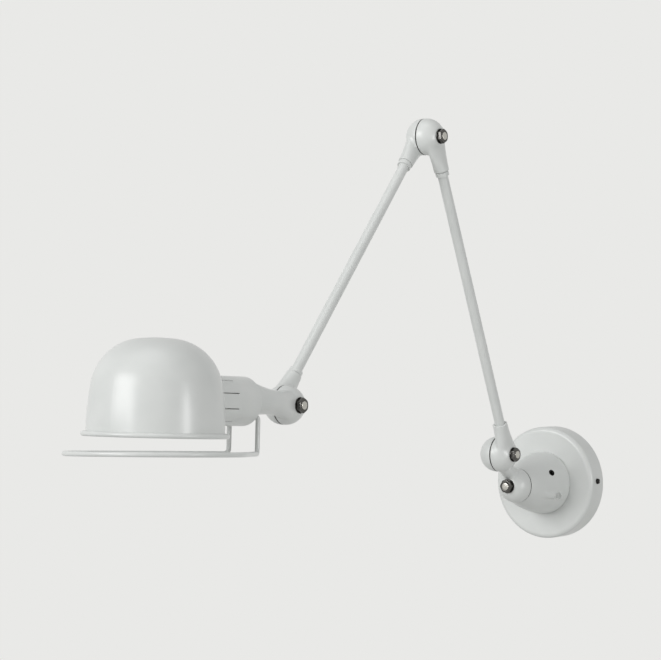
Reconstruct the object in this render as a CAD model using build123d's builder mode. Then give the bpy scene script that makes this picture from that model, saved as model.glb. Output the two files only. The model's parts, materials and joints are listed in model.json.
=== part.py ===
"""Articulating wall lamp: a wall dish and nose, two tube arms on friction joints, and a side-held shade."""
import os
from math import acos, asin, atan2, cos, radians, sin, sqrt

from build123d import *

os.makedirs("parts", exist_ok=True)

# Sizes are in millimetres and angles in degrees. X runs along the wall, -Y points out of the wall
# into the room, and +Z is up. The origin is the centre of the dish's back, on the wall.

# Layout of the joints
swivel_reach = 98.4         # wall to the parting plane of the swivel
shoulder_reach = 157.7      # wall to the shoulder axis
shoulder_rise = 44.4        # swivel axis up to the shoulder axis
side_step = 9.35            # swivel axis out to the parting plane of the other three joints
near_step = 12.15           # that plane out to the middle of the parts on its near side
lower_arm_length = 440.0    # shoulder axis to elbow axis
upper_arm_length = 440.0    # elbow axis to head axis
lower_arm_lean = 23.14      # each lean is an angle out from straight up, about the +X axis
upper_arm_lean = 138.07
head_lean = 87.58

# Every joint is a pair of half cups on one clamp bolt
cup_radius = 23.0
cup_depth = 21.9            # parting plane to the flat under the nut
cup_skirt = 1.4             # straight part of the rim before the dome starts
cup_flat_radius = 10.8
cup_wall = 3.0
cup_floor = 4.0             # thickness of the dome's middle
seam_gap = 1.0
disc_outer_radius = 22.0
disc_inner_radius = 17.0
bolt_radius = 5.0
bolt_clearance = 0.05       # radial, on the joint bolts
screw_clearance = 0.05      # radial, on every small screw in its tapped hole
bolt_tip = 0.8              # bolt end standing out of the nut
washer_radius = 9.5
washer_thickness = 1.2
nut_across_flats = 16.0
nut_height = 5.4
bolt_head_height = 6.4
head_pocket_play = 0.1
spotface_margin = 0.8
spotface_depth = 9.0

# Arm ends and tubes
tube_radius = 6.5
tube_wall = 1.2
tube_setback = 21.0         # joint axis to the tube's end
tube_clearance = 0.05
collar_radius = 9.6         # collar where it ends
collar_waist_across = 8.7   # half sizes of the oval waist between cup and collar
collar_waist_deep = 14.0
collar_waist_at = 23.0
collar_root_across = 8.7
collar_root_deep = 18.4
collar_root_at = 8.0
plain_collar_end = 44.0     # joint axis to the end of the collar at the shoulder
long_collar_end = 46.0      # the same at the elbow and head
ferrule_radius = 8.5
ferrule_length = 5.4
ferrule_seam = 0.6
grub_radius = 2.0
grub_length = 2.6
grub_at = 34.0
lead_radius = 3.0
lead_lift = 0.3             # space between a lead and the tube it lies in
lead_setback = 26.0

# Knuckle between the swivel and the shoulder
neck_radius = 9.5
neck_start_out = 9.3        # swivel's parting plane out to the neck's start
neck_start_rise = 12.3
neck_channel_radius = 4.0
neck_channel_start = 2.0
neck_channel_end = 14.0     # end of the channel short of the shoulder axis

# Wall dish and nose
dish_radius = 75.0
dish_depth = 30.0
dish_wall = 1.5
dish_round = 6.0
dish_mouth_radius = 28.0
nose_root_radius = 41.7
nose_skirt = 3.0            # straight part at the nose's root
nose_round = 200.0          # radius of its side, seen in section
nose_wall = 3.0
nose_boss_radius = 5.2
nose_boss_circle = 34.0
nose_boss_length = 12.0
nose_screw_count = 3
web_hole_radius = 3.6
web_hole_at = 14.5
grub_hole_radius = 4.0
grub_hole_reach = 62.0
grub_hole_angle = 26.7
lock_screw_radius = 3.0
lock_screw_reach = 53.8
lock_screw_angle = -22.9
lock_spot_radius = 5.0

# Small screws
screw_shank_radius = 1.9
screw_hole_radius = 2.1
screw_head_radius = 3.6
screw_head_height = 2.4
screw_head_taper = 12.0
screw_slot_width = 0.9
screw_slot_depth = 1.1
nose_screw_length = 8.0
side_screw_length = 4.5
side_screw_reach = 15.4
side_screw_rise = 3.8
side_screw_head_radius = 3.8

# Wall bracket and wiring in the dish
strap_thickness = 2.0
strap_width = 24.0
strap_length = 136.0
ear_width = 20.0
ear_height = 21.0
ear_play = 0.4              # space between the ears' corners and the dish
wall_slot_spacing = 110.0
wall_slot_length = 14.0
wall_slot_radius = 2.6
cable_hole_radius = 10.0
grommet_radius = 12.0
grommet_lip = 1.5
grommet_bore_radius = 4.5
grommet_play = 0.05
block_length = 15.0
block_width = 16.0
block_height = 12.0
block_near_edge = 31.0
block_edge_round = 1.0
block_screw_radius = 2.0
block_screw_spacing = 7.0
block_screw_sink = 1.0      # screw's top below the block's
earth_screw_at = -24.0
base_lead_bend = 12.0

# Head
head_neck_root_across = 9.9
head_neck_root_deep = 17.5
head_neck_root_at = 9.0
head_neck_waist_radius = 15.0
head_neck_waist_lift = 1.5
head_neck_waist_at = 27.0
head_neck_radius = 20.0
head_neck_lift = 6.0
head_neck_full_at = 84.0
scallop_clearance = 1.0
head_channel_radius = 6.0
sleeve_radius = 28.0
sleeve_wall = 1.5
sleeve_lift = 3.0
sleeve_start = 95.5
sleeve_end = 186.0
sleeve_edge = 1.2
vent_count = 10
vent_width = 2.5
vent_start = 135.0
vent_end = 168.0
sleeve_screw_circle = 14.0
sleeve_screw_count = 3
sleeve_screw_length = 8.0
holder_start = 118.0
holder_flange_length = 5.0
holder_radius = 20.0
holder_length = 42.0
holder_floor = 11.0
holder_bore_radius = 14.3
holder_play = 0.1
shell_radius = 14.2
shell_bore_radius = 13.35
shell_length = 22.0
shell_start = 4.0           # floor of the lampholder to the shell
contact_radius = 4.5
contact_height = 3.0
contact_round = 1.2

# Shade, rim ring and handle
shade_reach = 247.1         # head axis to the shade's own axis
shade_drop = 35.4           # head axis down to the shade's rim
shade_radius = 75.0
shade_height = 105.0
shade_wall = 1.2
crown_round = 190.0
crown_turn = 6.0
shoulder_round = 58.0
shoulder_turn = 74.0
shade_hole_clearance = 0.5
saddle_width = 6.0
saddle_thickness = 1.6
saddle_play = 0.1
wire_radius = 2.75
wire_clearance = 0.05       # radial, where the handle's ends enter the neck
rim_ring_radius = 78.0
handle_drop = 20.7          # rim ring down to the handle
handle_radius = 97.5
handle_leg_at = 92.4
handle_leg_spread = 20.3
handle_leg_rise = 43.5
handle_bend = 6.0
handle_roll = 1.2           # the handle's near side sits this much higher, in degrees
handle_pocket_depth = 2.2


def room_point(reach, rise, side=0.0):
    """The point at this distance from the wall, this height and this sideways place."""
    return Vector(side, -reach, rise)


def heading(lean):
    """The direction in the arms' plane at this angle out from straight up."""
    return Vector(0, -sin(radians(lean)), cos(radians(lean)))


swivel_point = room_point(swivel_reach, 0)
shoulder_point = room_point(shoulder_reach, shoulder_rise, side_step)
elbow_point = shoulder_point + heading(lower_arm_lean) * lower_arm_length
head_point = elbow_point + heading(upper_arm_lean) * upper_arm_length

# Each half cup faces away from its parting plane, so its plane's Z axis points into the half.
wall = Plane(origin=(0, 0, 0), x_dir=(1, 0, 0), z_dir=(0, -1, 0))
swivel_front = Plane(origin=swivel_point, x_dir=(1, 0, 0), z_dir=(0, -1, 0))
swivel_back = Plane(origin=swivel_point, x_dir=(1, 0, 0), z_dir=(0, 1, 0))
head_seat = cup_depth - bolt_head_height


def near_half(point, direction):
    """The +X half of a side joint, with its X axis along the arm that it carries."""
    return Plane(origin=point, x_dir=direction, z_dir=(1, 0, 0))


def far_half(point, direction):
    """The -X half of a side joint, with its X axis along the arm that it carries."""
    return Plane(origin=point, x_dir=direction, z_dir=(-1, 0, 0))


def lengthwise(face):
    """The section plane through a face's Z axis: X is the radius and Y the depth."""
    return Plane(origin=face.origin, x_dir=face.x_dir, z_dir=-face.y_dir)


def save(piece, name):
    """Label a finished piece and write it to its own file."""
    piece.label = name
    export_step(piece, f"parts/{name}.step")


# ---------------------------------------------------------------- joints
def dome_outline(radius, depth):
    """Half section of a dome: straight rim, round shoulder and flat, closed along the axis."""
    with BuildLine() as outline:
        Polyline((0, seam_gap / 2), (radius, seam_gap / 2), (radius, seam_gap / 2 + cup_skirt))
        TangentArc((radius, seam_gap / 2 + cup_skirt), (cup_flat_radius, depth), tangent=(0, 1))
        Polyline((cup_flat_radius, depth), (0, depth), (0, seam_gap / 2))
    return outline.line


def cup_body(face):
    """The solid outside of a half cup."""
    with BuildPart() as body:
        with BuildSketch(lengthwise(face)):
            add(dome_outline(cup_radius, cup_depth))
            make_face()
        revolve(axis=Axis(face.origin, face.z_dir))
    return body.part


def cup_cavity(face, floor):
    """The cavity and the bolt hole of a half cup with a floor of this thickness."""
    with BuildPart() as cavity:
        with BuildSketch(lengthwise(face)):
            add(dome_outline(cup_radius - cup_wall, cup_depth - floor))
            make_face()
        revolve(axis=Axis(face.origin, face.z_dir))
        with BuildSketch(face):
            Circle(bolt_radius + bolt_clearance)
        extrude(amount=cup_depth)
    return cavity.part


def nut_side_cuts(face):
    """What is taken out of the half under the nut: the cavity, the bolt hole and the spotface."""
    with BuildPart() as cuts:
        add(cup_cavity(face, cup_floor))
        with BuildSketch(face.offset(cup_depth)):
            Circle(washer_radius + spotface_margin)
        extrude(amount=spotface_depth)
    return cuts.part


def head_side_cuts(face):
    """What is taken out of the other half, whose hexagon pocket keeps the bolt's head from turning."""
    with BuildPart() as cuts:
        add(cup_cavity(face, cup_floor + bolt_head_height))
        with BuildSketch(face.offset(head_seat)):
            RegularPolygon(nut_across_flats / 2 + head_pocket_play, 6, major_radius=False)
        extrude(amount=bolt_head_height)
    return cuts.part


def hexagon_prism(face, height, bore=0.0):
    """A chamfered hexagon head or nut that stands on a face."""
    with BuildPart() as prism:
        with BuildSketch(face):
            RegularPolygon(nut_across_flats / 2, 6, major_radius=False)
            if bore:
                Circle(bore, mode=Mode.SUBTRACT)
        extrude(amount=height)
        # A steep cone bevels the six corners at the free end.
        with BuildSketch(lengthwise(face)):
            with BuildLine():
                Polyline(
                    (0, 0),
                    (nut_across_flats, 0),
                    (nut_across_flats / 2, height),
                    (0, height),
                    close=True,
                )
            make_face()
        revolve(axis=Axis(face.origin, face.z_dir), mode=Mode.INTERSECT)
    return prism.part


def clamp_bolt(back, seat_depth):
    """A hexagon bolt with its head on a seat in the back half and its end through the nut."""
    grip = seat_depth + cup_depth + washer_thickness
    with BuildPart() as bolt:
        with BuildSketch(back.offset(seat_depth)):
            Circle(bolt_radius)
        extrude(amount=-grip - nut_height - bolt_tip)
        add(hexagon_prism(back.offset(seat_depth), bolt_head_height))
    return bolt.part


def clamp_washer(front):
    """The washer between the nut and the flat of the front half."""
    with BuildPart() as washer:
        with BuildSketch(front.offset(cup_depth)):
            Circle(washer_radius)
            Circle(bolt_radius + bolt_clearance, mode=Mode.SUBTRACT)
        extrude(amount=washer_thickness)
    return washer.part


def friction_disc(front):
    """The thin disc between the rims of two half cups."""
    with BuildPart() as disc:
        with BuildSketch(front.offset(-seam_gap / 2)):
            Circle(disc_outer_radius)
            Circle(disc_inner_radius, mode=Mode.SUBTRACT)
        extrude(amount=seam_gap)
    return disc.part


def clamp_set(name, front, back, seat_depth):
    """The hardware of one joint, saved as four nodes."""
    nut_face = front.offset(cup_depth + washer_thickness)
    save(clamp_bolt(back, seat_depth), f"{name}_bolt")
    save(hexagon_prism(nut_face, nut_height, bolt_radius + bolt_clearance), f"{name}_nut")
    save(clamp_washer(front), f"{name}_washer")
    save(friction_disc(front), f"{name}_friction_disc")


lower_up = heading(lower_arm_lean)
upper_out = heading(upper_arm_lean)
clamp_set("swivel", swivel_front, swivel_back, cup_depth)
for joint_name, joint_point, far_heading in (
    ("shoulder", shoulder_point, (0, 0, 1)),
    ("elbow", elbow_point, upper_out),
    ("head", head_point, -upper_out),
):
    clamp_set(joint_name, near_half(joint_point, (0, 0, 1)), far_half(joint_point, far_heading), head_seat)


# ---------------------------------------------------------------- small screws
def pan_screw(seat, length, head_radius=screw_head_radius):
    """A slotted pan screw whose head sits on a plane and whose shank goes down through it."""
    with BuildPart() as screw:
        with BuildSketch(seat):
            Circle(screw_shank_radius)
        extrude(amount=-length)
        with BuildSketch(seat):
            Circle(head_radius)
        extrude(amount=screw_head_height, taper=screw_head_taper)
        with BuildSketch(seat.offset(screw_head_height)):
            Rectangle(2 * head_radius, screw_slot_width)
        extrude(amount=-screw_slot_depth, mode=Mode.SUBTRACT)
    return screw.part


def grub_screw(seat, radius, length):
    """A headless screw with a hexagon socket, its outer end on a plane."""
    with BuildPart() as screw:
        with BuildSketch(seat):
            Circle(radius)
        extrude(amount=-length)
        with BuildSketch(seat):
            RegularPolygon(radius / 2, 6)
        extrude(amount=-length / 2, mode=Mode.SUBTRACT)
    return screw.part


# ---------------------------------------------------------------- wall dish
def dish_ray(side):
    """The plane that looks out along the side screw at this end, with its origin on the swivel axis."""
    angle = asin(side_screw_rise / dish_radius)
    outward = Vector(side * cos(angle), 0, sin(angle))
    return Plane(origin=room_point(side_screw_reach, 0), x_dir=(0, -1, 0), z_dir=outward)


with BuildPart() as wall_dish:
    inner_radius = dish_radius - dish_wall
    inner_depth = dish_depth - dish_wall
    side_top = dish_depth - dish_round
    with BuildSketch(lengthwise(wall)):
        with BuildLine():
            Line((dish_radius, 0), (dish_radius, side_top))
            RadiusArc((dish_radius, side_top), (dish_radius - dish_round, dish_depth), -dish_round)
            Polyline(
                (dish_radius - dish_round, dish_depth),
                (dish_mouth_radius, dish_depth),
                (dish_mouth_radius, inner_depth),
                (dish_radius - dish_round, inner_depth),
            )
            inner_round = dish_round - dish_wall
            RadiusArc((dish_radius - dish_round, inner_depth), (inner_radius, side_top), inner_round)
            Polyline((inner_radius, side_top), (inner_radius, 0), (dish_radius, 0))
        make_face()
    revolve(axis=Axis(wall.origin, wall.z_dir))
    with BuildSketch(wall.offset(inner_depth)):
        with PolarLocations(nose_boss_circle, nose_screw_count, start_angle=90):
            Circle(screw_hole_radius)
    extrude(amount=dish_wall, mode=Mode.SUBTRACT)
    for side in (-1, 1):
        with BuildSketch(dish_ray(side)):
            Circle(screw_hole_radius)
        extrude(amount=dish_radius, mode=Mode.SUBTRACT)
save(wall_dish.part, "wall_dish")

# ---------------------------------------------------------------- nose
nose_tip = swivel_reach - seam_gap / 2
web_back = swivel_reach - cup_depth


nose_skirt_end = dish_depth + nose_skirt
skirt_corner = Vector(nose_root_radius, nose_skirt_end)
tip_corner = Vector(cup_radius, nose_tip)
half_chord = (tip_corner - skirt_corner) / 2
inward = Vector(-half_chord.Y, half_chord.X).normalized()
nose_centre = skirt_corner + half_chord + inward * sqrt(nose_round**2 - half_chord.length**2)


def nose_radius(reach, inset=0.0):
    """Radius of the nose's rounded side at this distance from the wall and depth under its surface."""
    return nose_centre.X + sqrt((nose_round - inset) ** 2 - (reach - nose_centre.Y) ** 2)


def nose_ray(reach, angle):
    """The plane that looks straight out of the nose's side, with its origin on the swivel axis."""
    outward = Vector(cos(radians(angle)), 0, sin(radians(angle)))
    return Plane(origin=room_point(reach, 0), x_dir=(0, -1, 0), z_dir=outward)


grub_seat = nose_radius(grub_hole_reach) - nose_wall / 2
lock_seat = nose_radius(lock_screw_reach) - nose_wall / 4
hollow_root = nose_radius(nose_skirt_end, nose_wall)
hollow_tip = nose_radius(web_back, nose_wall)
with BuildPart() as swivel_nose:
    with BuildSketch(lengthwise(wall)):
        with BuildLine():
            Polyline((0, dish_depth), (nose_root_radius, dish_depth), (nose_root_radius, nose_skirt_end))
            RadiusArc((nose_root_radius, nose_skirt_end), (cup_radius, nose_tip), -nose_round)
            Polyline((cup_radius, nose_tip), (0, nose_tip), (0, dish_depth))
        make_face()
    revolve(axis=Axis(wall.origin, wall.z_dir))
    with BuildSketch(lengthwise(wall)):
        with BuildLine():
            Polyline((0, dish_depth), (hollow_root, dish_depth), (hollow_root, nose_skirt_end))
            RadiusArc((hollow_root, nose_skirt_end), (hollow_tip, web_back), nose_wall - nose_round)
            Polyline((hollow_tip, web_back), (0, web_back), (0, dish_depth))
        make_face()
    revolve(axis=Axis(wall.origin, wall.z_dir), mode=Mode.SUBTRACT)
    with BuildSketch(wall.offset(dish_depth)):
        with PolarLocations(nose_boss_circle, nose_screw_count, start_angle=90):
            Circle(nose_boss_radius)
    extrude(amount=nose_boss_length)
    with BuildSketch(wall.offset(dish_depth)):
        with PolarLocations(nose_boss_circle, nose_screw_count, start_angle=90):
            Circle(screw_shank_radius + screw_clearance)
    extrude(amount=nose_screw_length, mode=Mode.SUBTRACT)
    add(nut_side_cuts(swivel_back), mode=Mode.SUBTRACT)
    with BuildSketch(wall.offset(web_back)):
        with Locations((web_hole_at, 0)):
            Circle(web_hole_radius)
    extrude(amount=cup_floor, mode=Mode.SUBTRACT)
    with BuildSketch(nose_ray(grub_hole_reach, grub_hole_angle)):
        Circle(grub_hole_radius)
    extrude(amount=nose_root_radius, mode=Mode.SUBTRACT)
    with BuildSketch(nose_ray(lock_screw_reach, lock_screw_angle)):
        Circle(screw_shank_radius + screw_clearance)
    extrude(amount=nose_root_radius, mode=Mode.SUBTRACT)
    with BuildSketch(nose_ray(lock_screw_reach, lock_screw_angle).offset(lock_seat)):
        Circle(lock_spot_radius)
    extrude(amount=nose_wall, mode=Mode.SUBTRACT)
save(swivel_nose.part, "swivel_nose")

save(grub_screw(nose_ray(grub_hole_reach, grub_hole_angle).offset(grub_seat),
                grub_hole_radius - screw_clearance, nose_wall), "nose_grub_screw")
save(pan_screw(nose_ray(lock_screw_reach, lock_screw_angle).offset(lock_seat),
               nose_wall, lock_screw_radius), "nose_lock_screw")

with BuildPart() as nose_fixing_screws:
    for turn in range(nose_screw_count):
        place = radians(90 + turn * 360 / nose_screw_count)
        centre = room_point(inner_depth, nose_boss_circle * sin(place), nose_boss_circle * cos(place))
        add(pan_screw(Plane(origin=centre, z_dir=(0, 1, 0)), nose_screw_length))
save(nose_fixing_screws.part, "nose_fixing_screws")

with BuildPart() as dish_side_screws:
    for side in (-1, 1):
        add(pan_screw(dish_ray(side).offset(dish_radius), side_screw_length, side_screw_head_radius))
save(dish_side_screws.part, "dish_side_screws")

# ---------------------------------------------------------------- wall bracket and wiring
ear_face = sqrt(inner_radius**2 - (ear_width / 2) ** 2) - ear_play
with BuildPart() as wall_bracket:
    with BuildSketch(wall):
        Rectangle(2 * ear_face, ear_width)
        Rectangle(strap_length, strap_width)
        with Locations((-wall_slot_spacing / 2, 0), (wall_slot_spacing / 2, 0)):
            SlotOverall(wall_slot_length, 2 * wall_slot_radius, mode=Mode.SUBTRACT)
        Circle(cable_hole_radius, mode=Mode.SUBTRACT)
        with Locations((earth_screw_at, 0)):
            Circle(screw_shank_radius + screw_clearance, mode=Mode.SUBTRACT)
    extrude(amount=strap_thickness)
    with BuildSketch(wall):
        with Locations((-ear_face + strap_thickness / 2, 0), (ear_face - strap_thickness / 2, 0)):
            Rectangle(strap_thickness, ear_width)
    extrude(amount=ear_height)
    for side in (-1, 1):
        with BuildSketch(dish_ray(side)):
            Circle(screw_shank_radius + screw_clearance)
        extrude(amount=dish_radius, mode=Mode.SUBTRACT)
save(wall_bracket.part, "wall_bracket")

with BuildPart() as cable_grommet:
    with BuildSketch(wall.offset(strap_thickness)):
        Circle(grommet_radius)
        Circle(grommet_bore_radius, mode=Mode.SUBTRACT)
    extrude(amount=grommet_lip)
    with BuildSketch(wall):
        Circle(cable_hole_radius - grommet_play)
        Circle(grommet_bore_radius, mode=Mode.SUBTRACT)
    extrude(amount=strap_thickness)
save(cable_grommet.part, "cable_grommet")

block_centre = block_near_edge + block_length / 2
block_top = strap_thickness + block_height
with BuildPart() as terminal_block:
    with BuildSketch(wall.offset(strap_thickness)):
        with Locations((block_centre, 0)):
            Rectangle(block_length, block_width)
    extrude(amount=block_height)
    fillet(terminal_block.edges().filter_by(Axis.Y), radius=block_edge_round)
    with BuildSketch(wall.offset(block_top)):
        with Locations((block_centre, -block_screw_spacing / 2), (block_centre, block_screw_spacing / 2)):
            Circle(block_screw_radius + screw_clearance)
    extrude(amount=-block_height / 2, mode=Mode.SUBTRACT)
save(terminal_block.part, "terminal_block")

with BuildPart() as terminal_screws:
    for side in (-1, 1):
        centre = room_point(block_top - block_screw_sink, side * block_screw_spacing / 2, block_centre)
        top = Plane(origin=centre, z_dir=(0, -1, 0))
        add(grub_screw(top, block_screw_radius, block_height / 2 - block_screw_sink))
save(terminal_screws.part, "terminal_screws")

earth_seat = Plane(origin=room_point(strap_thickness, 0, earth_screw_at), z_dir=(0, -1, 0))
save(pan_screw(earth_seat, strap_thickness), "earth_screw")

lead_plane_depth = strap_thickness + block_height / 2
with BuildPart() as base_lead:
    with BuildLine() as base_lead_path:
        FilletPolyline(
            room_point(lead_plane_depth, 0, block_near_edge),
            room_point(lead_plane_depth, 0, web_hole_at),
            room_point(web_back + cup_floor, 0, web_hole_at),
            radius=base_lead_bend,
        )
    with BuildSketch(Plane(origin=base_lead_path.line @ 0, z_dir=base_lead_path.line % 0)):
        Circle(lead_radius)
    sweep()
save(base_lead.part, "base_lead")

# ---------------------------------------------------------------- knuckle
shoulder_far = far_half(shoulder_point, (0, 0, 1))
neck_start = room_point(swivel_reach + neck_start_out, neck_start_rise)
neck_span = shoulder_point - Vector(side_step, 0, 0) - neck_start
neck = Plane(origin=neck_start, x_dir=(1, 0, 0), z_dir=neck_span)
with BuildPart() as swivel_knuckle:
    add(cup_body(swivel_front))
    add(cup_body(shoulder_far))
    with BuildSketch(neck):
        Circle(neck_radius)
    extrude(amount=neck_span.length)
    with BuildSketch(near_half(shoulder_point, (0, 0, 1)).offset(-seam_gap / 2)):
        Circle(cup_radius + scallop_clearance)
    extrude(amount=cup_radius, mode=Mode.SUBTRACT)
    add(nut_side_cuts(swivel_front), mode=Mode.SUBTRACT)
    add(head_side_cuts(shoulder_far), mode=Mode.SUBTRACT)
    with BuildSketch(neck.offset(neck_channel_start)):
        Circle(neck_channel_radius)
    extrude(amount=neck_span.length - neck_channel_start - neck_channel_end, mode=Mode.SUBTRACT)
save(swivel_knuckle.part, "swivel_knuckle")


# ---------------------------------------------------------------- arms
def arm_line(face, distance):
    """The point on an arm's own line at this distance from its joint."""
    step = near_step if face.z_dir.X > 0 else side_step
    return face.origin + face.z_dir * step + face.x_dir * distance


def along_arm(face, distance):
    """The plane across an arm at this distance from its joint, centred on the arm's own line."""
    return Plane(origin=arm_line(face, distance), x_dir=face.z_dir, z_dir=face.x_dir)


def grub_plane(face, across, level):
    """The plane of a grub screw in a collar, which looks the way of across."""
    return Plane(origin=arm_line(face, grub_at) + across * level, x_dir=face.x_dir, z_dir=across)


def arm_end(face, collar_end, across, cuts):
    """A half cup whose oval waist draws in to a round collar for the tube."""
    with BuildPart() as casting:
        add(cup_body(face))
        with BuildSketch(along_arm(face, collar_root_at)):
            Ellipse(collar_root_across, collar_root_deep)
        with BuildSketch(along_arm(face, collar_waist_at)):
            Ellipse(collar_waist_across, collar_waist_deep)
        with BuildSketch(along_arm(face, collar_end)):
            Circle(collar_radius)
        loft()
        add(cuts, mode=Mode.SUBTRACT)
        with BuildSketch(along_arm(face, tube_setback)):
            Circle(tube_radius + tube_clearance)
        extrude(amount=collar_end - tube_setback, mode=Mode.SUBTRACT)
        with BuildSketch(along_arm(face, cup_radius / 2)):
            Circle(tube_radius - tube_wall)
        extrude(amount=tube_setback - cup_radius / 2, mode=Mode.SUBTRACT)
        with BuildSketch(grub_plane(face, across, 0)):
            Circle(grub_radius + screw_clearance)
        extrude(amount=2 * collar_radius, mode=Mode.SUBTRACT)
    return casting.part


def ferrule(face):
    """The narrower ring round the tube just past the collar."""
    with BuildPart() as ring:
        with BuildSketch(along_arm(face, long_collar_end + ferrule_seam)):
            Circle(ferrule_radius)
            Circle(tube_radius + tube_clearance, mode=Mode.SUBTRACT)
        extrude(amount=ferrule_length)
    return ring.part


def arm_tube(face, length):
    """The tube between two joints."""
    with BuildPart() as tube:
        with BuildSketch(along_arm(face, tube_setback)):
            Circle(tube_radius)
            Circle(tube_radius - tube_wall, mode=Mode.SUBTRACT)
        extrude(amount=length - 2 * tube_setback)
    return tube.part


def arm_lead(face, length, down):
    """The lead inside a tube, lying along the tube's lower side."""
    drop = down * (tube_radius - tube_wall - lead_radius - lead_lift)
    start = along_arm(face, lead_setback)
    with BuildPart() as lead:
        with BuildSketch(Plane(origin=start.origin + drop, z_dir=start.z_dir)):
            Circle(lead_radius)
        extrude(amount=length - 2 * lead_setback)
    return lead.part


def arm_grub_screws(faces, across):
    """The grub screws that hold a tube in its two collars."""
    with BuildPart() as screws:
        for face in faces:
            add(grub_screw(grub_plane(face, across, tube_radius + grub_length), grub_radius, grub_length))
    return screws.part


lower_wallward = heading(lower_arm_lean - 90)
lower_bottom = near_half(shoulder_point, lower_up)
lower_top = near_half(elbow_point, -lower_up)
save(arm_end(lower_bottom, plain_collar_end, lower_wallward, nut_side_cuts(lower_bottom)),
     "lower_arm_bottom_cup")
save(arm_end(lower_top, long_collar_end, lower_wallward, nut_side_cuts(lower_top)), "lower_arm_top_cup")
save(ferrule(lower_top), "lower_arm_top_ferrule")
save(arm_tube(lower_bottom, lower_arm_length), "lower_arm_tube")
save(arm_lead(lower_bottom, lower_arm_length, -lower_wallward), "lower_arm_lead")
save(arm_grub_screws((lower_bottom, lower_top), lower_wallward), "lower_arm_grub_screws")

upper_wallward = heading(upper_arm_lean + 90)
upper_top = far_half(elbow_point, upper_out)
upper_bottom = far_half(head_point, -upper_out)
save(arm_end(upper_top, long_collar_end, upper_wallward, head_side_cuts(upper_top)), "upper_arm_top_cup")
save(arm_end(upper_bottom, long_collar_end, upper_wallward, head_side_cuts(upper_bottom)),
     "upper_arm_bottom_cup")
save(ferrule(upper_top), "upper_arm_top_ferrule")
save(ferrule(upper_bottom), "upper_arm_bottom_ferrule")
save(arm_tube(upper_top, upper_arm_length), "upper_arm_tube")
save(arm_lead(upper_top, upper_arm_length, upper_wallward), "upper_arm_lead")
save(arm_grub_screws((upper_top, upper_bottom), upper_wallward), "upper_arm_grub_screws")

# ---------------------------------------------------------------- head
head_out = heading(head_lean)
head_up = heading(head_lean - 90)
head_line = head_point + Vector(near_step, 0, 0)
head_near = near_half(head_point, head_out)


def head_place(reach, up=0.0, side=0.0):
    """A point in the head: along the sleeve, up from its line and sideways."""
    return head_line + head_out * reach + head_up * up + Vector(side, 0, 0)


def across_head(reach, up=0.0):
    """The plane across the head at this reach: X is sideways and Y is up."""
    return Plane(origin=head_place(reach, up), x_dir=(1, 0, 0), z_dir=head_out)


handle_top = handle_leg_rise - shade_drop - handle_drop
handle_end_side = sqrt(head_neck_radius**2 - (handle_top - head_neck_lift)**2) - handle_pocket_depth
with BuildPart() as head_casting:
    add(cup_body(head_near))
    with BuildSketch(across_head(head_neck_root_at)):
        Ellipse(head_neck_root_across, head_neck_root_deep)
    with BuildSketch(across_head(head_neck_waist_at, head_neck_waist_lift)):
        Circle(head_neck_waist_radius)
    with BuildSketch(across_head(head_neck_full_at, head_neck_lift)):
        Circle(head_neck_radius)
    loft()
    with BuildSketch(across_head(head_neck_full_at, head_neck_lift)):
        Circle(head_neck_radius)
    extrude(amount=sleeve_start - head_neck_full_at)
    with BuildSketch(head_near.offset(seam_gap / 2)):
        Circle(cup_radius + scallop_clearance)
    extrude(amount=-2 * cup_radius, mode=Mode.SUBTRACT)
    add(nut_side_cuts(head_near), mode=Mode.SUBTRACT)
    with BuildSketch(across_head(cup_radius / 2, 0)):
        Circle(head_channel_radius)
    extrude(amount=sleeve_start - cup_radius / 2, mode=Mode.SUBTRACT)
    with BuildSketch(across_head(sleeve_start, head_neck_lift)):
        with PolarLocations(sleeve_screw_circle, sleeve_screw_count, start_angle=90):
            Circle(screw_shank_radius + screw_clearance)
    extrude(amount=-sleeve_screw_length, mode=Mode.SUBTRACT)
    for side in (-1, 1):
        pocket = head_place(handle_leg_at, handle_top, side * handle_end_side)
        with BuildSketch(Plane(origin=pocket, z_dir=(side, 0, 0))):
            Circle(wire_radius + wire_clearance)
        extrude(amount=head_neck_radius, mode=Mode.SUBTRACT)
save(head_casting.part, "head_casting")

with BuildPart() as socket_sleeve:
    with BuildSketch(across_head(sleeve_start, sleeve_lift)):
        Circle(sleeve_radius)
    extrude(amount=sleeve_end - sleeve_start)
    fillet(socket_sleeve.edges().group_by(Axis((0, 0, 0), tuple(head_out)))[0], radius=sleeve_edge)
    with BuildSketch(across_head(sleeve_start + sleeve_wall, sleeve_lift)):
        Circle(sleeve_radius - sleeve_wall)
    extrude(amount=sleeve_end - sleeve_start, mode=Mode.SUBTRACT)
    with BuildSketch(across_head(sleeve_start)):
        Circle(head_channel_radius)
    extrude(amount=sleeve_wall, mode=Mode.SUBTRACT)
    with BuildSketch(across_head(sleeve_start, head_neck_lift)):
        with PolarLocations(sleeve_screw_circle, sleeve_screw_count, start_angle=90):
            Circle(screw_hole_radius)
    extrude(amount=sleeve_wall, mode=Mode.SUBTRACT)
    for turn in range(vent_count // 2):
        angle = (turn + 0.5) * 360 / vent_count
        middle = head_place((vent_start + vent_end) / 2, sleeve_lift)
        outward = Vector(1, 0, 0) * cos(radians(angle)) + head_up * sin(radians(angle))
        with BuildSketch(Plane(origin=middle, x_dir=head_out, z_dir=outward)):
            SlotOverall(vent_end - vent_start, vent_width)
        extrude(amount=2 * sleeve_radius, both=True, mode=Mode.SUBTRACT)
save(socket_sleeve.part, "socket_sleeve")

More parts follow.
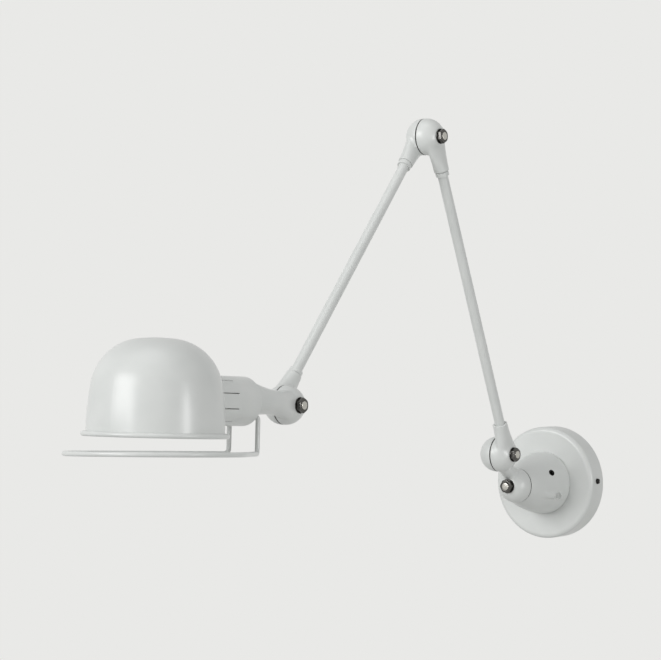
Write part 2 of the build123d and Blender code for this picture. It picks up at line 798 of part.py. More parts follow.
with BuildPart() as sleeve_screws:
    for turn in range(sleeve_screw_count):
        place = radians(90 + turn * 360 / sleeve_screw_count)
        up = head_neck_lift + sleeve_screw_circle * sin(place)
        seat = head_place(sleeve_start + sleeve_wall, up, sleeve_screw_circle * cos(place))
        add(pan_screw(Plane(origin=seat, z_dir=head_out), sleeve_screw_length))
save(sleeve_screws.part, "sleeve_screws")

with BuildPart() as lampholder_body:
    with BuildSketch(across_head(holder_start, sleeve_lift)):
        Circle(sleeve_radius - sleeve_wall - holder_play)
    extrude(amount=holder_flange_length)
    with BuildSketch(across_head(holder_start, sleeve_lift)):
        Circle(holder_radius)
    extrude(amount=holder_length)
    with BuildSketch(across_head(holder_start + holder_floor, sleeve_lift)):
        Circle(holder_bore_radius)
    extrude(amount=holder_length, mode=Mode.SUBTRACT)
save(lampholder_body.part, "lampholder_body")

with BuildPart() as lampholder_shell:
    with BuildSketch(across_head(holder_start + holder_floor + shell_start, sleeve_lift)):
        Circle(shell_radius)
        Circle(shell_bore_radius, mode=Mode.SUBTRACT)
    extrude(amount=shell_length)
save(lampholder_shell.part, "lampholder_shell")

with BuildPart() as lampholder_contact:
    with BuildSketch(across_head(holder_start + holder_floor, sleeve_lift)):
        Circle(contact_radius)
    extrude(amount=contact_height)
    fillet(lampholder_contact.edges().group_by(Axis((0, 0, 0), tuple(head_out)))[-1], radius=contact_round)
save(lampholder_contact.part, "lampholder_contact")

with BuildPart() as head_lead:
    with BuildSketch(Plane(origin=head_place(lead_setback, 0), z_dir=head_out)):
        Circle(lead_radius)
    extrude(amount=holder_start - lead_setback)
save(head_lead.part, "head_lead")

# ---------------------------------------------------------------- shade
shade_centre = head_place(shade_reach, -shade_drop)
shade_axis = Axis(shade_centre, head_up)
shade_section = Plane(origin=shade_centre, x_dir=head_out, z_dir=Vector(-1, 0, 0))


def shade_outline(inset):
    """Half of the shade's outline, this far inside its outer surface, from the crown to the rim."""
    with BuildLine() as outline:
        crown = JernArc((0, shade_height - inset), (1, 0), crown_round - inset, -crown_turn)
        shoulder = JernArc(crown @ 1, crown % 1, shoulder_round - inset, -shoulder_turn)
        TangentArc(shoulder @ 1, (shade_radius - inset, 0), tangent=shoulder % 1)
    return outline.line


def shade_layer(inset, thickness):
    """A spun layer of the shade's form that starts this far inside its outer surface."""
    inner = inset + thickness
    with BuildPart() as layer:
        with BuildSketch(shade_section):
            with BuildLine():
                add(shade_outline(inset))
                add(shade_outline(inner))
                Line((0, shade_height - inset), (0, shade_height - inner))
                Line((shade_radius - inset, 0), (shade_radius - inner, 0))
            make_face()
        revolve(axis=shade_axis)
    return layer.part


with BuildPart() as shade:
    add(shade_layer(0, shade_wall))
    with BuildSketch(across_head(sleeve_end - 2 * sleeve_radius, sleeve_lift)):
        Circle(sleeve_radius + shade_hole_clearance)
    extrude(amount=2 * sleeve_radius, mode=Mode.SUBTRACT)
save(shade.part, "shade")

with BuildPart() as shade_saddle:
    with BuildSketch(across_head(sleeve_end - sleeve_radius, sleeve_lift)):
        Circle(sleeve_radius + saddle_play + saddle_width)
        Circle(sleeve_radius + saddle_play, mode=Mode.SUBTRACT)
    extrude(amount=sleeve_radius)
    add(shade_layer(shade_wall + saddle_play, saddle_thickness), mode=Mode.INTERSECT)
save(shade_saddle.part, "shade_saddle")

with BuildPart() as rim_ring:
    with BuildSketch(shade_section):
        with Locations((rim_ring_radius, 0)):
            Circle(wire_radius)
    revolve(axis=shade_axis)
save(rim_ring.part, "rim_ring")

# The handle is one bent wire: legs from the neck, run out and round the front of the shade.
leg_back = shade_reach - handle_leg_at
leg_offset = sqrt(leg_back**2 + handle_leg_spread**2)
touch_angle = radians(180) - atan2(handle_leg_spread, leg_back) - acos(handle_radius / leg_offset)
touch_reach = shade_reach + handle_radius * cos(touch_angle)
touch_side = handle_radius * sin(touch_angle)


def handle_place(reach, side):
    """A point on the handle's lower part, which is rolled a little about the head's line."""
    return head_place(reach, -shade_drop - handle_drop + side * sin(radians(handle_roll)), side)


with BuildPart() as handle_wire:
    with BuildLine() as handle_path:
        for side in (1, -1):
            FilletPolyline(
                head_place(handle_leg_at, handle_top, side * handle_end_side),
                head_place(handle_leg_at, handle_top, side * handle_leg_spread),
                handle_place(handle_leg_at, side * handle_leg_spread),
                handle_place(touch_reach, side * touch_side),
                radius=handle_bend,
            )
        ThreePointArc(
            handle_place(touch_reach, touch_side),
            handle_place(shade_reach + handle_radius, 0),
            handle_place(touch_reach, -touch_side),
        )
    with BuildSketch(Plane(origin=head_place(handle_leg_at, handle_top, handle_end_side), z_dir=(1, 0, 0))):
        Circle(wire_radius)
    sweep(path=handle_path.wire())
save(handle_wire.part, "handle_wire")
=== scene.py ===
import json
from math import atan2, cos, pi, radians, sin, sqrt

import bmesh
import bpy
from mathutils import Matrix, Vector
from mathutils.bvhtree import BVHTree
from mathutils.kdtree import KDTree

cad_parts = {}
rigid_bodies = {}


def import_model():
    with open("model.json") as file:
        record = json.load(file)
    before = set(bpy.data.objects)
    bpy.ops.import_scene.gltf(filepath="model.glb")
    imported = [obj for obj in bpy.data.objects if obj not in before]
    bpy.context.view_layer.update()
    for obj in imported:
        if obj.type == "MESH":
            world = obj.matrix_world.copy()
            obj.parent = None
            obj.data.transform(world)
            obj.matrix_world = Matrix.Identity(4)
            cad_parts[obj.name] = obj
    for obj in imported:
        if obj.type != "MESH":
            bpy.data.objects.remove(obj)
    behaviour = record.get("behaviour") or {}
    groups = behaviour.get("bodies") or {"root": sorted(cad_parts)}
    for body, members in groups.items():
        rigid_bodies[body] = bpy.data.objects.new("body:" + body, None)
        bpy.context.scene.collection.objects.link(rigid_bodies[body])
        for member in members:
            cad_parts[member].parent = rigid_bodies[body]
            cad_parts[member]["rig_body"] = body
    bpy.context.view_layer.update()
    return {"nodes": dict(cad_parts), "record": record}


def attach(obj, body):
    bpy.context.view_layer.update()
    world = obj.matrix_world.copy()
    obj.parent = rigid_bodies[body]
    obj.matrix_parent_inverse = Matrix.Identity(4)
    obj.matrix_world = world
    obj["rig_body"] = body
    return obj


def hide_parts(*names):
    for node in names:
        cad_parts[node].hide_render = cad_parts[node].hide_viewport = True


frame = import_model()
nodes = frame["nodes"]
mm = 0.001
print("frame loaded:", len(nodes), "nodes")

bpy.context.scene.view_settings.view_transform = "Standard"

# the camera stands and looks as the one that took the photo
viewpoint = {
    "place": (1.7948, -3.0048, 0.2247),
    "turn": 35.85,              # degrees from straight at the wall, towards +X
    "dip": -0.31,               # degrees above the level
    "lens": 139.74,
    "sensor": 36.0,
    "sight": 30.0,              # metres
}


def addCamera(settings):
    turn = radians(settings["turn"])
    dip = radians(settings["dip"])
    forward = Vector((-sin(turn) * cos(dip), cos(turn) * cos(dip), sin(dip)))
    camera = bpy.data.objects.new("camera", bpy.data.cameras.new("camera"))
    bpy.context.scene.collection.objects.link(camera)
    camera.location = settings["place"]
    camera.rotation_euler = forward.to_track_quat("-Z", "Y").to_euler()
    camera.data.lens = settings["lens"]
    camera.data.sensor_width = settings["sensor"]
    camera.data.clip_end = settings["sight"]
    bpy.context.scene.camera = camera
    print("camera placed")


addCamera(viewpoint)


def hexColour(code):
    # sRGB hex to the linear values that the nodes take
    parts = [int(code[i:i + 2], 16) / 255 for i in (0, 2, 4)]
    linear = [p / 12.92 if p <= 0.04045 else ((p + 0.055) / 1.055) ** 2.4 for p in parts]
    return (*linear, 1.0)


def addNode(owner, kind, inputs=None, **settings):
    # one node of a material or a world: an input is a number, a colour or another node's socket
    node = owner.node_tree.nodes.new(kind)
    for name, value in settings.items():
        setattr(node, name, value)
    for name, value in (inputs or {}).items():
        if isinstance(value, bpy.types.NodeSocket):
            owner.node_tree.links.new(value, node.inputs[name])
        else:
            node.inputs[name].default_value = value
    return node


def newMaterial(name):
    material = bpy.data.materials.new(name)
    material.use_nodes = True
    material.node_tree.nodes.clear()
    return material


def addNoise(material, size, detail):
    # a noise over the piece's own metres
    place = addNode(material, "ShaderNodeTexCoord").outputs["Object"]
    noise = addNode(material, "ShaderNodeTexNoise", {"Vector": place, "Scale": 1 / size, "Detail": detail})
    return noise.outputs["Fac"]


def addBump(material, height, depth, over=None):
    inputs = {"Height": height, "Distance": depth}
    if over:
        inputs["Normal"] = over
    return addNode(material, "ShaderNodeBump", inputs).outputs["Normal"]


def addGloss(material, noise, roughness, spread):
    # roughness that wanders with a noise, from a little below to a little above
    below, above = spread
    gloss = addNode(
        material, "ShaderNodeMapRange",
        {"Value": noise, "To Min": roughness - below, "To Max": roughness + above},
    )
    return gloss.outputs["Result"]


def finishMaterial(material, shader):
    addNode(material, "ShaderNodeOutputMaterial", {"Surface": shader.outputs[0]})
    return material


# powder coat: satin white polyester powder, baked on steel; a fine orange peel and very faint tone drift
powderLook = {
    "white": "D6D8D6",
    "shadeWhite": "C6C9C7",
    "roughness": 0.30,
    "spread": (0.05, 0.06),
    "ior": 1.5,
    "driftSize": 45 * mm,
    "driftDetail": 3.0,
    "peelSize": 1.6 * mm,       # drawn coarser than the real 0.5 mm, so that it shows
    "peelDepth": 0.005 * mm,
    "peelDetail": 2.0,
    "grainDetail": 4.0,
}


def powderCoat(name, look, grainSize=0.0, grainDepth=0.0):
    material = newMaterial(name)
    drift = addNoise(material, look["driftSize"], look["driftDetail"])
    tone = addNode(
        material, "ShaderNodeMix",
        {0: drift, 6: hexColour(look["shadeWhite"]), 7: hexColour(look["white"])},
        data_type="RGBA",
    )
    gloss = addGloss(material, drift, look["roughness"], look["spread"])
    bump = addBump(material, addNoise(material, look["peelSize"], look["peelDetail"]), look["peelDepth"])
    if grainSize:
        # the casting's own skin shows through the coat
        bump = addBump(material, addNoise(material, grainSize, look["grainDetail"]), grainDepth, bump)
    shader = addNode(
        material, "ShaderNodeBsdfPrincipled",
        {"Base Color": tone.outputs[2], "Roughness": gloss, "Normal": bump, "IOR": look["ior"]},
    )
    return finishMaterial(material, shader)


# plated steel: bright, polished metal with fine turning marks; the nickel's colour is drawn far darker
# than real nickel, as a painted dark reflection of a dim room
nickelLook = {
    # far darker than real nickel: a painted dark reflection of a dim room
    "colour": "565553",
    "roughness": 0.18,
    "spread": (0.04, 0.08),
    "markSize": 0.4 * mm,
    "markDepth": 0.004 * mm,
    "markDetail": 3.0,
}


def platedSteel(name, look):
    material = newMaterial(name)
    marks = addNoise(material, look["markSize"], look["markDetail"])
    shader = addNode(
        material, "ShaderNodeBsdfPrincipled",
        {
            "Base Color": hexColour(look["colour"]),
            "Metallic": 1.0,
            "Roughness": addGloss(material, marks, look["roughness"], look["spread"]),
            "Normal": addBump(material, marks, look["markDepth"]),
        },
    )
    return finishMaterial(material, shader)


# dull solids: rubber, fibre, moulded plastic and glazed porcelain, each with a fine mottle
dullLook = {"spread": (0.06, 0.06), "grainDetail": 3.0}


def dullSolid(name, look, colour, roughness, grainSize, grainDepth):
    material = newMaterial(name)
    grain = addNoise(material, grainSize, look["grainDetail"])
    shader = addNode(
        material, "ShaderNodeBsdfPrincipled",
        {
            "Base Color": hexColour(colour),
            "Roughness": addGloss(material, grain, roughness, look["spread"]),
            "Normal": addBump(material, grain, grainDepth),
        },
    )
    return finishMaterial(material, shader)


finishes = {
    "white_paint": powderCoat("whitePowderCoat", powderLook),
    "painted_casting": powderCoat(
        "whitePowderCoatOnCasting", powderLook, grainSize=3.5 * mm, grainDepth=0.02 * mm,
    ),
    "nickel_steel": platedSteel("nickelSteelWithPaintedDarkReflection", nickelLook),
    "zinc_steel": platedSteel("zincPlatedSteel", {**nickelLook, "colour": "B9BBBD", "roughness": 0.34}),
    "bolt_steel": platedSteel("brightBoltSteel", {**nickelLook, "colour": "B9B7B1", "roughness": 0.22}),
    "black_steel": platedSteel("blackenedSteel", {**nickelLook, "colour": "1C1B1A", "roughness": 0.4}),
    "brass": platedSteel("brass", {**nickelLook, "colour": "C9A45C", "roughness": 0.25}),
    "dark_fibre": dullSolid(
        "frictionFibre", dullLook, "2B2A28", roughness=0.85, grainSize=0.8 * mm, grainDepth=0.02 * mm,
    ),
    "rubber": dullSolid(
        "mouldedRubber", dullLook, "1B1B1C", roughness=0.7, grainSize=1.0 * mm, grainDepth=0.02 * mm,
    ),
    "cable_sheath": dullSolid(
        "cableSheath", dullLook, "CFCFCA", roughness=0.55, grainSize=1.5 * mm, grainDepth=0.01 * mm,
    ),
    "terminal_plastic": dullSolid(
        "terminalPlastic", dullLook, "C9C5B8", roughness=0.5, grainSize=1.2 * mm, grainDepth=0.01 * mm,
    ),
    "ceramic": dullSolid(
        "glazedPorcelain", dullLook, "E4E2DC", roughness=0.18, grainSize=6.0 * mm, grainDepth=0.01 * mm,
    ),
}
slotOf = {part["node"]: part["material_slot"] for part in frame["record"]["subparts"]}
for node, slot in slotOf.items():
    nodes[node].data.materials.clear()
    nodes[node].data.materials.append(finishes[slot])
print("materials made:", len(finishes))


def standFor(piece, node):
    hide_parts(node)
    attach(piece, nodes[node]["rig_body"])


def nodePiece(node, name):
    # a copy of a CAD node's mesh, with its doubled vertices merged, that stands for the node
    piece = bpy.data.objects.new(name, nodes[node].data.copy())
    bpy.context.scene.collection.objects.link(piece)
    shape = bmesh.new()
    shape.from_mesh(piece.data)
    bmesh.ops.remove_doubles(shape, verts=shape.verts, dist=0.001 * mm)
    shape.to_mesh(piece.data)
    shape.free()
    standFor(piece, node)
    return piece


def builtPiece(shape, node, name):
    # a shape drawn from nothing, in the node's own finish, that stands for the node
    bmesh.ops.recalc_face_normals(shape, faces=shape.faces)
    mesh = bpy.data.meshes.new(name)
    shape.to_mesh(mesh)
    shape.free()
    mesh.materials.append(finishes[slotOf[node]])
    piece = bpy.data.objects.new(name, mesh)
    bpy.context.scene.collection.objects.link(piece)
    standFor(piece, node)
    return piece


def joinRings(shape, one, two):
    # quads between two closed rings of vertices
    for step in range(len(one)):
        after = (step + 1) % len(one)
        shape.faces.new((one[step], two[step], two[after], one[after]))


def selectOnly(piece):
    bpy.ops.object.select_all(action="DESELECT")
    piece.select_set(True)
    bpy.context.view_layer.objects.active = piece


def applyModifier(piece, kind, **settings):
    selectOnly(piece)
    modifier = piece.modifiers.new(kind.lower(), kind)
    for name, value in settings.items():
        setattr(modifier, name, value)
    bpy.ops.object.modifier_apply(modifier=modifier.name)


def shadeSmooth(piece, angle):
    selectOnly(piece)
    bpy.ops.object.shade_smooth_by_angle(angle=radians(angle))


def eased(value, start, end):
    # 0 at start, 1 at end, level at both
    part = min(max((value - start) / (end - start), 0.0), 1.0)
    return part * part * (3 - 2 * part)


# a point on each joint's bolt, in the parting plane, and the way that its nut faces
jointLines = {
    "swivel": (Vector((0, -98.4, 0)) * mm, Vector((0, -1, 0))),
    "shoulder": (Vector((9.35, -157.7, 44.4)) * mm, Vector((1, 0, 0))),
    "elbow": (Vector((9.35, -330.611, 449.001)) * mm, Vector((1, 0, 0))),
    "head": (Vector((9.35, -624.629, 121.658)) * mm, Vector((1, 0, 0))),
}
castings = {
    # node: the joints that it is part of
    "swivel_knuckle": ("swivel", "shoulder"),
    "lower_arm_bottom_cup": ("shoulder",),
    "lower_arm_top_cup": ("elbow",),
    "upper_arm_top_cup": ("elbow",),
    "upper_arm_bottom_cup": ("head",),
    "head_casting": ("head",),
}

# castings: the corner where a collar leaves its cup is a soft fillet, as on any sand or die casting
castLook = {
    "grain": 0.75 * mm,         # size of the new faces
    "reach": 7.5 * mm,          # how far the fillet spreads on either side of the corner
    "core": 0.3,                # share of the reach that is softened in full
    "rounds": 55,
    "overall": 0.6,             # the whole skin is softened this much
    "overallRounds": 2,
    "factor": 0.5,
    "sharp": 12.0,              # degrees, a corner flatter than this is left alone
    "openSky": 120 * mm,        # a corner with metal over it within this distance is inside
    "lift": 0.4 * mm,
    "boltZone": 13.0 * mm,      # nothing is softened this near to a bolt's line
    "cupZone": 40.0 * mm,       # nor beyond this distance from the joint
    "cupRadius": 26 * mm,
    "rim": 0.5 * mm,            # nor this near to the parting plane
    "rimFade": 3.0 * mm,
    "smoothAngle": 60,
}


def insideCorners(piece, lines, look):
    # points along the outer inside corners of a casting
    shape = bmesh.new()
    shape.from_mesh(piece.data)
    tree = BVHTree.FromBMesh(shape)
    points = []
    for edge in shape.edges:
        if len(edge.link_faces) != 2:
            continue
        one, two = edge.link_faces
        if one.normal.angle(two.normal, 0.0) < radians(look["sharp"]):
            continue
        if (two.calc_center_median() - one.calc_center_median()).dot(one.normal) <= 0:
            continue
        outward = (one.normal + two.normal).normalized()
        steps = max(1, int(edge.calc_length() / look["grain"]))
        for step in range(steps):
            point = edge.verts[0].co.lerp(edge.verts[1].co, (step + 0.5) / steps)
            fromBolt = min((point - place).cross(axis).length for place, axis in lines)
            fromJoint = min((point - place).length for place, axis in lines)
            if fromBolt < look["boltZone"] or fromJoint > look["cupZone"]:
                continue
            if tree.ray_cast(point + outward * look["lift"], outward, look["openSky"])[0] is None:
                points.append(point)
    shape.free()
    return points


def softenCasting(node, lines, look):
    piece = nodePiece(node, node + "_cast")
    corners = insideCorners(piece, lines, look)
    near = KDTree(len(corners))
    for index, point in enumerate(corners):
        near.insert(point, index)
    near.balance()
    applyModifier(piece, "REMESH", mode="VOXEL", voxel_size=look["grain"], adaptivity=0.0)
    group = piece.vertex_groups.new(name="corner")
    everything = piece.vertex_groups.new(name="all")
    for vertex in piece.data.vertices:
        weight = 1 - eased(near.find(vertex.co)[2], look["core"] * look["reach"], look["reach"])
        for place, axis in lines:
            if (vertex.co - place).cross(axis).length < look["cupRadius"]:
                fromPlane = abs((vertex.co - place).dot(axis))
                weight *= eased(fromPlane, look["rim"], look["rim"] + look["rimFade"])
        if weight > 0:
            group.add([vertex.index], weight, "REPLACE")
        everything.add([vertex.index], look["overall"], "REPLACE")
    for name, rounds in (("corner", look["rounds"]), ("all", look["overallRounds"])):
        applyModifier(piece, "SMOOTH", factor=look["factor"], iterations=rounds, vertex_group=name)
    shadeSmooth(piece, look["smoothAngle"])
    print(node, "softened at", len(corners), "points,", len(piece.data.polygons), "faces")


for node, joints in castings.items():
    softenCasting(node, [jointLines[joint] for joint in joints], castLook)

# swivel nose: one casting, with a low rib that runs to the small lock screw,
# and painted shade, in blackened steel, on the walls in and round the grub screw's hole
noseLook = {
    "grain": 0.9 * mm,
    "overall": 0.6,             # the whole skin is softened this much
    "overallRounds": 3,
    "factor": 0.5,
    "skin": 15 * mm,            # nearer than this to the swivel's line is the cable's way
    "facing": 0.4,              # faces that look outward by less than this stay
    "holeReach": 62.0 * mm,     # from the wall
    "holeAngle": 26.7,          # degrees above +X, round the swivel's line
    # the painted hole shade reaches this far from the hole's line, on faces that look along it by less
    # than the next
    "holeShadeRadius": 4.4 * mm,
    "holeShadeFacing": 0.6,
    "lockReach": 53.8 * mm,
    "lockAngle": -22.9,
    "lockClear": 5.2 * mm,
    "ribRise": (84.0 * mm, 63.0 * mm),
    "ribFall": (48.0 * mm, 43.0 * mm),
    "ribHalfWidth": 6.5 * mm,
    "ribFlat": 0.15,            # share of the half width that has the full height
    "ribHeight": 3.4 * mm,
    "smoothAngle": 60,
}


def outwardAt(angle):
    return Vector((cos(radians(angle)), 0, sin(radians(angle))))


def raiseRib(piece, look):
    rib = outwardAt(look["lockAngle"])
    lockPlace = Vector((0, -look["lockReach"], 0))
    # all normals are read before the first vertex moves, because each move has them worked out anew
    normals = [vertex.normal.copy() for vertex in piece.data.vertices]
    for vertex, normal in zip(piece.data.vertices, normals):
        radial = Vector((vertex.co.x, 0, vertex.co.z))
        if radial.length < look["skin"] or radial.dot(rib) < 0:
            continue
        if normal.dot(radial.normalized()) < look["facing"]:
            continue
        if (vertex.co - lockPlace).cross(rib).length < look["lockClear"]:
            continue
        reach = -vertex.co.y
        across = radial.cross(rib).length
        lift = 1 - eased(across, look["ribFlat"] * look["ribHalfWidth"], look["ribHalfWidth"])
        lift *= 1 - eased(reach, look["ribRise"][1], look["ribRise"][0])
        lift *= eased(reach, look["ribFall"][1], look["ribFall"][0])
        vertex.co += radial.normalized() * lift * look["ribHeight"]


def paintHoleShade(piece, look):
    # painted shade: the walls in and round the grub screw's hole are drawn in blackened steel
    piece.data.materials.append(finishes["black_steel"])
    hole = outwardAt(look["holeAngle"])
    holePlace = Vector((0, -look["holeReach"], 0))
    dark = 0
    for face in piece.data.polygons:
        offset = face.center - holePlace
        along = offset.dot(hole)
        off = offset - hole * along
        inHole = along > look["skin"] and off.length < look["holeShadeRadius"]
        if inHole and face.normal.dot(hole) < look["holeShadeFacing"]:
            face.material_index = 1
            dark += 1
    return dark


def shapeNose(look):
    piece = nodePiece("swivel_nose", "swivel_nose_cast")
    applyModifier(piece, "REMESH", mode="VOXEL", voxel_size=look["grain"], adaptivity=0.0)
    group = piece.vertex_groups.new(name="all")
    group.add(list(range(len(piece.data.vertices))), look["overall"], "REPLACE")
    applyModifier(
        piece, "SMOOTH", factor=look["factor"], iterations=look["overallRounds"], vertex_group="all",
    )
    raiseRib(piece, look)
    dark = paintHoleShade(piece, look)
    shadeSmooth(piece, look["smoothAngle"])
    print("nose shaped,", len(piece.data.polygons), "faces,", dark, "painted as hole shade")


shapeNose(noseLook)

# nuts: chamfered hexagons, plated, with small bright edges
nutLook = {
    "chamferStart": 0.93,       # of the half width across the flats
    "chamferSlope": 0.55,
    "bore": 4.95 * mm,
    "boreChamfer": 0.5 * mm,
    "footChamfer": 0.3 * mm,
    "turns": 96,
    "sideTurn": 60,             # degrees from one flat to the next
    "edge": 0.22 * mm,
    "edgeSteps": 2,
    "edgeSharp": 28,
    "smoothAngle": 25,
}


def hexagonNut(node, line, look):
    place, axis = line
    points = [vertex.co.copy() for vertex in nodes[node].data.vertices]
    along = [(point - place).dot(axis) for point in points]
    low, high = min(along), max(along)
    across = [(point - place) - axis * (point - place).dot(axis) for point in points]
    corner = max(across, key=lambda v: v.length)
    halfTurn = look["sideTurn"] / 2
    halfWidth = corner.length * cos(radians(halfTurn))
    side = corner.normalized()
    other = axis.cross(side)
    start = look["chamferStart"] * halfWidth
    shape = bmesh.new()
    rings = []
    for turn in range(look["turns"]):
        angle = turn * 360 / look["turns"]
        radius = halfWidth / cos(radians((angle % look["sideTurn"]) - halfTurn))
        drop = (radius - start) * look["chamferSlope"]
        way = side * cos(radians(angle)) + other * sin(radians(angle))
        profile = [
            (look["bore"], low),
            (radius - look["footChamfer"], low),
            (radius, low + look["footChamfer"]),
            (radius, high - drop),
            (start, high),
            (look["bore"] + look["boreChamfer"], high),
            (look["bore"], high - look["boreChamfer"]),
        ]
        rings.append([shape.verts.new(place + axis * up + way * out) for out, up in profile])
    for turn in range(look["turns"]):
        joinRings(shape, rings[turn], rings[(turn + 1) % look["turns"]])
    piece = builtPiece(shape, node, node + "_chamfered")
    applyModifier(
        piece, "BEVEL", width=look["edge"], segments=look["edgeSteps"],
        limit_method="ANGLE", angle_limit=radians(look["edgeSharp"]),
    )
    shadeSmooth(piece, look["smoothAngle"])


# bolts: the end in the nut is rounded over, as rolled threads are, and brighter than the nut
boltLook = {
    "tipZone": 0.01 * mm,
    "sharp": 1.0,               # radians
    "round": 0.75 * mm,
    "roundSteps": 5,
    "smoothAngle": 35,
}


def roundedBolt(node, line, look):
    place, axis = line
    piece = nodePiece(node, node + "_rounded")
    shape = bmesh.new()
    shape.from_mesh(piece.data)
    tip = max((vertex.co - place).dot(axis) for vertex in shape.verts)
    rim = [
        edge for edge in shape.edges
        if all(abs((v.co - place).dot(axis) - tip) < look["tipZone"] for v in edge.verts)
        and len(edge.link_faces) == 2
        and edge.link_faces[0].normal.angle(edge.link_faces[1].normal, 0.0) > look["sharp"]
    ]
    bmesh.ops.bevel(
        shape, geom=rim, offset=look["round"], segments=look["roundSteps"], affect="EDGES", profile=0.5,
    )
    shape.to_mesh(piece.data)
    shape.free()
    piece.data.materials[0] = finishes["bolt_steel"]
    shadeSmooth(piece, look["smoothAngle"])
    print(node, "rounded at", len(rim), "edges")


# friction discs nearly fill the seam between two cups, so that it shows as a dark line
discLook = {
    "inside": 20.0 * mm,        # vertices beyond this are on the disc's edge
    "radius": 22.75 * mm,
    "smoothAngle": 35,
}


def wideDisc(node, line, look):
    place, axis = line
    piece = nodePiece(node, node + "_wide")
    for vertex in piece.data.vertices:
        along = axis * (vertex.co - place).dot(axis)
        off = vertex.co - place - along
        if off.length > look["inside"]:
            vertex.co = place + along + off.normalized() * look["radius"]
    shadeSmooth(piece, look["smoothAngle"])


for joint, line in jointLines.items():
    hexagonNut(joint + "_nut", line, nutLook)
    roundedBolt(joint + "_bolt", line, boltLook)
    wideDisc(joint + "_friction_disc", line, discLook)
print("nuts and bolts shaped")

# socket sleeve: its vents are narrow pressed slits
headTilt = radians(87.58)       # of the sleeve's line, from straight up
sideways = Vector((1, 0, 0))
headOut = Vector((0, -sin(headTilt), cos(headTilt)))
headUp = Vector((0, cos(headTilt), sin(headTilt)))
sleeveLook = {
    "line": Vector((21.5, -624.629, 121.658)) * mm + headUp * 3 * mm,
    "ventCount": 10,
    "ventStart": 134.9 * mm,
    "ventEnd": 168.1 * mm,
    "ventHalfWidth": 1.3 * mm,
    "keep": 0.45,               # share of the vent's width that stays
    "smoothAngle": 30,
}


def narrowVents(look):
    piece = nodePiece("socket_sleeve", "socket_sleeve_slit")
    pitch = radians(360 / look["ventCount"])
    moved = 0
    for vertex in piece.data.vertices:
        offset = vertex.co - look["line"]
        reach = offset.dot(headOut)
        if not look["ventStart"] < reach < look["ventEnd"]:
            continue
        side, up = offset.x, offset.dot(headUp)
        radius = sqrt(side * side + up * up)
        angle = atan2(up, side)
        middle = (round(angle / pitch - 0.5) + 0.5) * pitch
        if abs(angle - middle) * radius > look["ventHalfWidth"]:
            continue
        angle = middle + (angle - middle) * look["keep"]
        way = sideways * radius * cos(angle) + headUp * radius * sin(angle)
        vertex.co = look["line"] + headOut * reach + way
        moved += 1
    shadeSmooth(piece, look["smoothAngle"])
    print("sleeve slits narrowed at", moved, "vertices")


narrowVents(sleeveLook)

# lampholder shell: rolled from thin brass, with the round thread of a bulb socket
shellLook = {
    "low": 13.35 * mm,          # inner radius at the crest
    "depth": 0.5 * mm,
    "sheet": 0.33 * mm,
    "pitch": 3.63 * mm,
    "turns": 64,
    "steps": 72,
    "smoothAngle": 40,
}


def threadRing(shape, line, reach, extra, look):
    ring = []
    for turn in range(look["turns"]):
        angle = 2 * pi * turn / look["turns"]
        wave = 0.5 - 0.5 * cos(2 * pi * reach / look["pitch"] - angle)
        radius = look["low"] + look["depth"] * wave + extra
        way = sideways * cos(angle) + headUp * sin(angle)
        ring.append(shape.verts.new(line + headOut * reach + way * radius))
    return ring


def threadedShell(line, look):
    reaches = [(vertex.co - line).dot(headOut) for vertex in nodes["lampholder_shell"].data.vertices]
    start, end = min(reaches), max(reaches)
    shape = bmesh.new()
    inner, outer = [], []
    for step in range(look["steps"] + 1):
        reach = start + (end - start) * step / look["steps"]
        inner.append(threadRing(shape, line, reach, 0.0, look))
        outer.append(threadRing(shape, line, reach, look["sheet"], look))
    for skin in (inner, outer):
        for one, two in zip(skin, skin[1:]):
            joinRings(shape, one, two)
    for edge in (0, -1):
        joinRings(shape, inner[edge], outer[edge])
    piece = builtPiece(shape, "lampholder_shell", "lampholder_shell_threaded")
    shadeSmooth(piece, look["smoothAngle"])
    print("socket thread rolled:", len(piece.data.polygons), "faces")


threadedShell(sleeveLook["line"], shellLook)

# floor, lamps and background
studio = {
    "floorSize": 80.0,
    "floorDrop": -1.35,         # lower than the lamp can reach
    "floorColour": "EFEFED",
    "floorRoughness": (0.85, 0.95),
    "fleckScale": 60.0,
    "backgroundColour": "E9E9E7",
    "floorGlow": 0.3,
    "fadeStart": 1.2,           # metres from its middle, where the floor starts to turn into background
    "fadeEnd": 3.2,
    "ambient": 0.35,
    "lamps": {
        # name: place, power in watts, width and height in metres
        "key": ((-2.2, -7.4, 2.5), 390.0, 4.8, 3.6),
        "leftWindow": ((-0.1, -3.6, 0.2), 6.0, 0.32, 1.1),
        "rightWindow": ((2.7, -0.8, 0.2), 24.0, 0.3, 1.1),
        "top": ((0.0, -1.2, 2.6), 9.0, 1.6, 1.6),
    },
    "aim": (0.0, -0.45, 0.2),
}


def seenDirectly(owner):
    # 1 for the camera's own rays and for those that metal and glass mirror or let through, else 0
    path = addNode(owner, "ShaderNodeLightPath")
    mirrored = addNode(
        owner, "ShaderNodeMath",
        {0: path.outputs["Is Glossy Ray"], 1: path.outputs["Is Transmission Ray"]}, operation="MAXIMUM",
    )
    either = addNode(
        owner, "ShaderNodeMath",
        {0: path.outputs["Is Camera Ray"], 1: mirrored.outputs[0]}, operation="MAXIMUM",
    )
    return either.outputs[0]


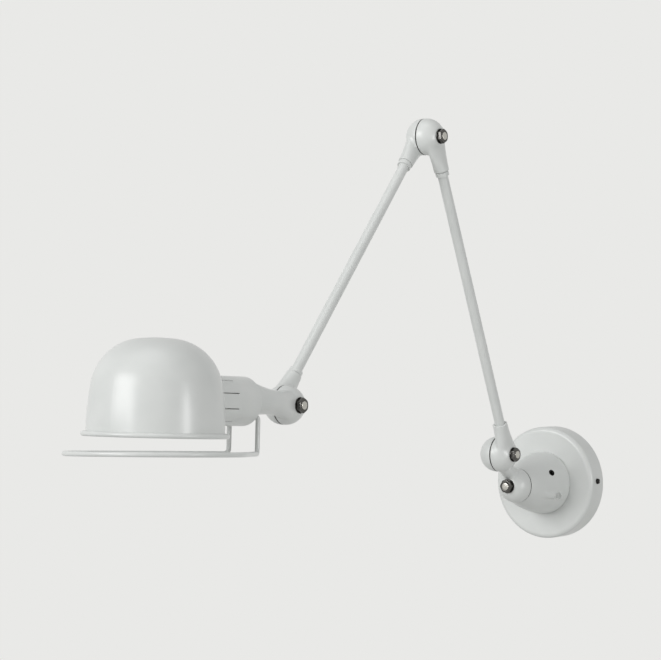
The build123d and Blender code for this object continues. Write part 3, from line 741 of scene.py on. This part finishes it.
def addFloor(settings):
    bpy.ops.object.select_all(action="DESELECT")
    bpy.ops.mesh.primitive_plane_add(size=settings["floorSize"], location=(0, 0, settings["floorDrop"]))
    floor = bpy.context.object
    floor.name = "floor"
    paper = newMaterial("paperFloor")
    place = addNode(paper, "ShaderNodeTexCoord").outputs["Object"]
    fleck = addNode(paper, "ShaderNodeTexNoise", {"Vector": place, "Scale": settings["fleckScale"]})
    smoothest, roughest = settings["floorRoughness"]
    gloss = addNode(
        paper, "ShaderNodeMapRange",
        {"Value": fleck.outputs["Fac"], "To Min": smoothest, "To Max": roughest},
    )
    sheet = addNode(
        paper, "ShaderNodeBsdfPrincipled",
        {"Base Color": hexColour(settings["floorColour"]), "Roughness": gloss.outputs["Result"]},
    )
    # far from the lamp, the paper turns into the background, so that no edge shows
    strength = addNode(
        paper, "ShaderNodeMapRange",
        {"Value": seenDirectly(paper), "To Min": settings["ambient"], "To Max": 1.0},
    )
    glow = addNode(
        paper, "ShaderNodeEmission",
        {"Color": hexColour(settings["backgroundColour"]), "Strength": strength.outputs["Result"]},
    )
    reach = addNode(paper, "ShaderNodeVectorMath", {0: place}, operation="LENGTH")
    fade = addNode(
        paper, "ShaderNodeMapRange",
        {
            "Value": reach.outputs["Value"],
            "From Min": settings["fadeStart"],
            "From Max": settings["fadeEnd"],
            "To Min": settings["floorGlow"],
        },
        interpolation_type="SMOOTHSTEP",
    )
    blend = addNode(
        paper, "ShaderNodeMixShader",
        {0: fade.outputs["Result"], 1: sheet.outputs[0], 2: glow.outputs[0]},
    )
    floor.data.materials.append(finishMaterial(paper, blend))


def addLamps(settings):
    for name, (place, power, width, height) in settings["lamps"].items():
        lamp = bpy.data.objects.new(name, bpy.data.lights.new(name, "AREA"))
        bpy.context.scene.collection.objects.link(lamp)
        lamp.location = place
        lamp.rotation_euler = (Vector(settings["aim"]) - Vector(place)).to_track_quat("-Z", "Y").to_euler()
        lamp.data.energy = power
        lamp.data.shape = "RECTANGLE"
        lamp.data.size = width
        lamp.data.size_y = height


def addBackground(settings):
    world = bpy.data.worlds.new("studio")
    world.use_nodes = True
    bpy.context.scene.world = world
    world.node_tree.nodes.clear()
    room = addNode(
        world, "ShaderNodeBackground",
        {"Color": hexColour("FFFFFF"), "Strength": settings["ambient"]},
    )
    seen = addNode(
        world, "ShaderNodeBackground",
        {"Color": hexColour(settings["backgroundColour"]), "Strength": 1.0},
    )
    blend = addNode(
        world, "ShaderNodeMixShader",
        {0: seenDirectly(world), 1: room.outputs[0], 2: seen.outputs[0]},
    )
    addNode(world, "ShaderNodeOutputWorld", {"Surface": blend.outputs[0]})


addFloor(studio)
addLamps(studio)
addBackground(studio)
print("studio lit")
